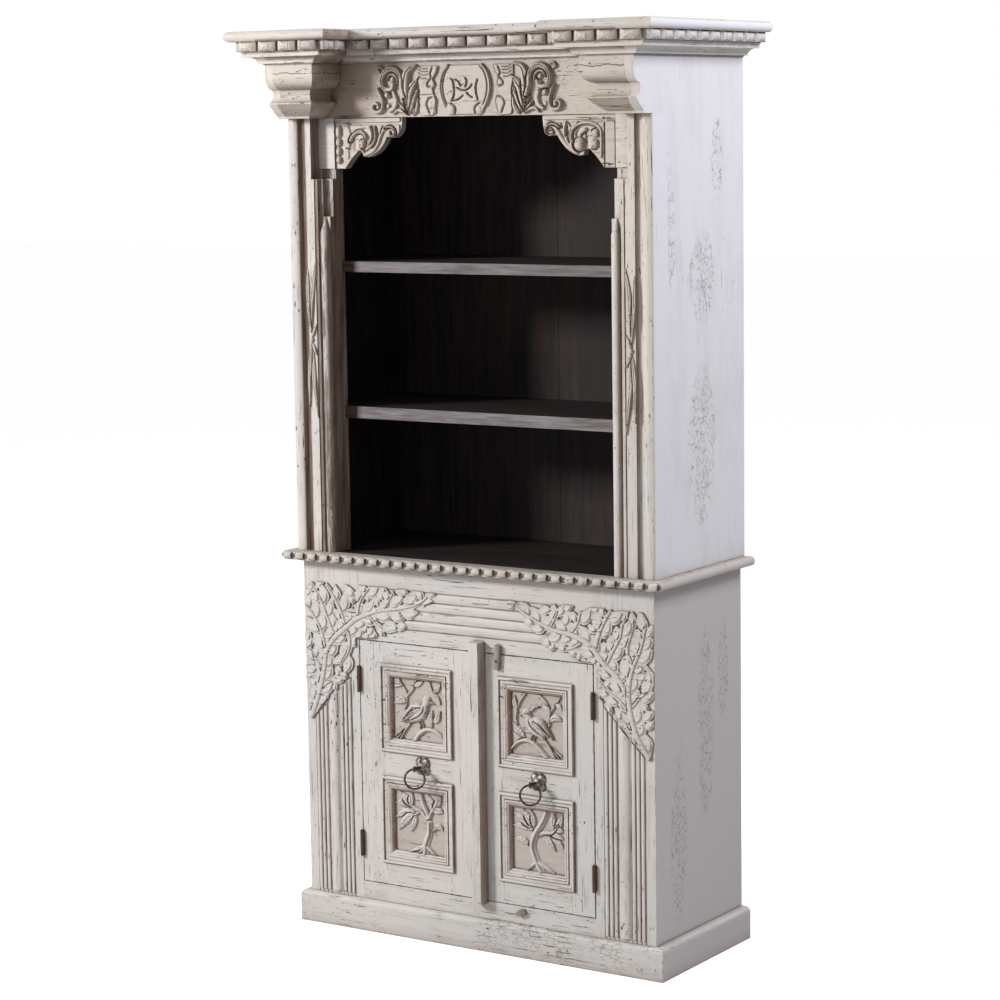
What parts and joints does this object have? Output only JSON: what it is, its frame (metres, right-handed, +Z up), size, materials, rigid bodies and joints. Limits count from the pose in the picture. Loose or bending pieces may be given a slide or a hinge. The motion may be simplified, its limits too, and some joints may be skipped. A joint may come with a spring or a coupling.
{
  "type": "carved cabinet bookcase",
  "caption": "Tall carved bookcase in distressed cream paint: open shelves with corbelled cornice over a cabinet with panelled doors and iron ring pulls.",
  "frame": {"origin": "middle of the footprint of the whole bookcase, on the floor", "axes": "+X to the right and +Z up for someone who faces the doors, +Y towards the back"},
  "size_m": [1.144, 0.545, 2.134],
  "materials": {
    "painted_wood": "thick cream paint, worn through to dark wood at edges, crackled in patches, brown glaze in the recesses",
    "stained_wood": "very dark brown stain, nearly matt",
    "shelf_wood": "dark stain with a weathered grey-brown front edge",
    "worn_wood": "cream paint mostly worn off brown wood",
    "aged_iron": "dark aged iron with bright worn high spots",
    "rusty_iron": "rusty brown iron"
  },
  "bodies": {
    "case": {"bottom_peg": "worn_wood", "bracket_left": "painted_wood", "bracket_right": "painted_wood", "corbel_left": "painted_wood", "corbel_right": "painted_wood", "cornice_cap_left": "painted_wood", "cornice_cap_right": "painted_wood", "cornice_center": "painted_wood", "cornice_side_left": "painted_wood", "cornice_side_right": "painted_wood", "cornice_top": "painted_wood", "frame_bottom_rail": "painted_wood", "frame_hinge_leaves": "rusty_iron", "frame_stile_left": "painted_wood", "frame_stile_right": "painted_wood", "frame_top_rail": "painted_wood", "frieze_board": "painted_wood", "front_dentils": "painted_wood", "half_column_left": "painted_wood", "half_column_right": "painted_wood", "hinge_pins": "rusty_iron", "jamb_left": "painted_wood", "jamb_right": "painted_wood", "lower_back_planks": "stained_wood", "lower_floor": "stained_wood", "lower_shelf": "stained_wood", "lower_side_left": "painted_wood", "lower_side_right": "painted_wood", "middle_shelf": "shelf_wood", "plinth_back": "painted_wood", "plinth_front": "painted_wood", "plinth_side_left": "painted_wood", "plinth_side_right": "painted_wood", "shelf_cleats": "stained_wood", "side_dentils": "painted_wood", "upper_back_planks": "stained_wood", "upper_shelf": "shelf_wood", "upper_side_left": "painted_wood", "upper_side_right": "painted_wood", "waist_board": "painted_wood", "waist_bobbins": "painted_wood"},
    "left_door": {"left_door_stiles": "painted_wood", "left_door_rails": "painted_wood", "left_door_panels": "painted_wood", "left_door_mouldings": "painted_wood", "left_hinge_leaves": "rusty_iron", "left_pull_boss": "aged_iron", "left_pull_eye": "aged_iron"},
    "right_door": {"right_door_stiles": "painted_wood", "right_door_rails": "painted_wood", "right_door_panels": "painted_wood", "right_door_mouldings": "painted_wood", "meeting_batten": "painted_wood", "right_hinge_leaves": "rusty_iron", "right_pull_boss": "aged_iron", "right_pull_eye": "aged_iron", "turn_button_nail": "rusty_iron"},
    "left_ring": {"left_pull_ring": "aged_iron"},
    "right_ring": {"right_pull_ring": "aged_iron"},
    "turn_button": {"turn_button": "worn_wood"}
  },
  "joints": [
    {"name": "left_door_hinge", "type": "hinge", "parent": "case", "child": "left_door", "pos_m": [-0.3252, -0.1319, 0.414], "axis": [0, 0, -1], "range_deg": [0, 110]},
    {"name": "right_door_hinge", "type": "hinge", "parent": "case", "child": "right_door", "pos_m": [0.3252, -0.1319, 0.414], "axis": [0, 0, 1], "range_deg": [0, 110]},
    {"name": "left_ring_swing", "type": "hinge", "parent": "left_door", "child": "left_ring", "pos_m": [-0.14644, -0.163, 0.41935], "axis": [-0.866, -0.5, 0], "range_deg": [-25, 200]},
    {"name": "right_ring_swing", "type": "hinge", "parent": "right_door", "child": "right_ring", "pos_m": [0.17548, -0.163, 0.41935], "axis": [-0.866, -0.5, 0], "range_deg": [-25, 200]},
    {"name": "turn_button_pivot", "type": "hinge", "parent": "right_door", "child": "turn_button", "pos_m": [0.0695, -0.127, 0.692], "axis": [0, 1, 0], "range_deg": [-60, 140]}
  ]
}
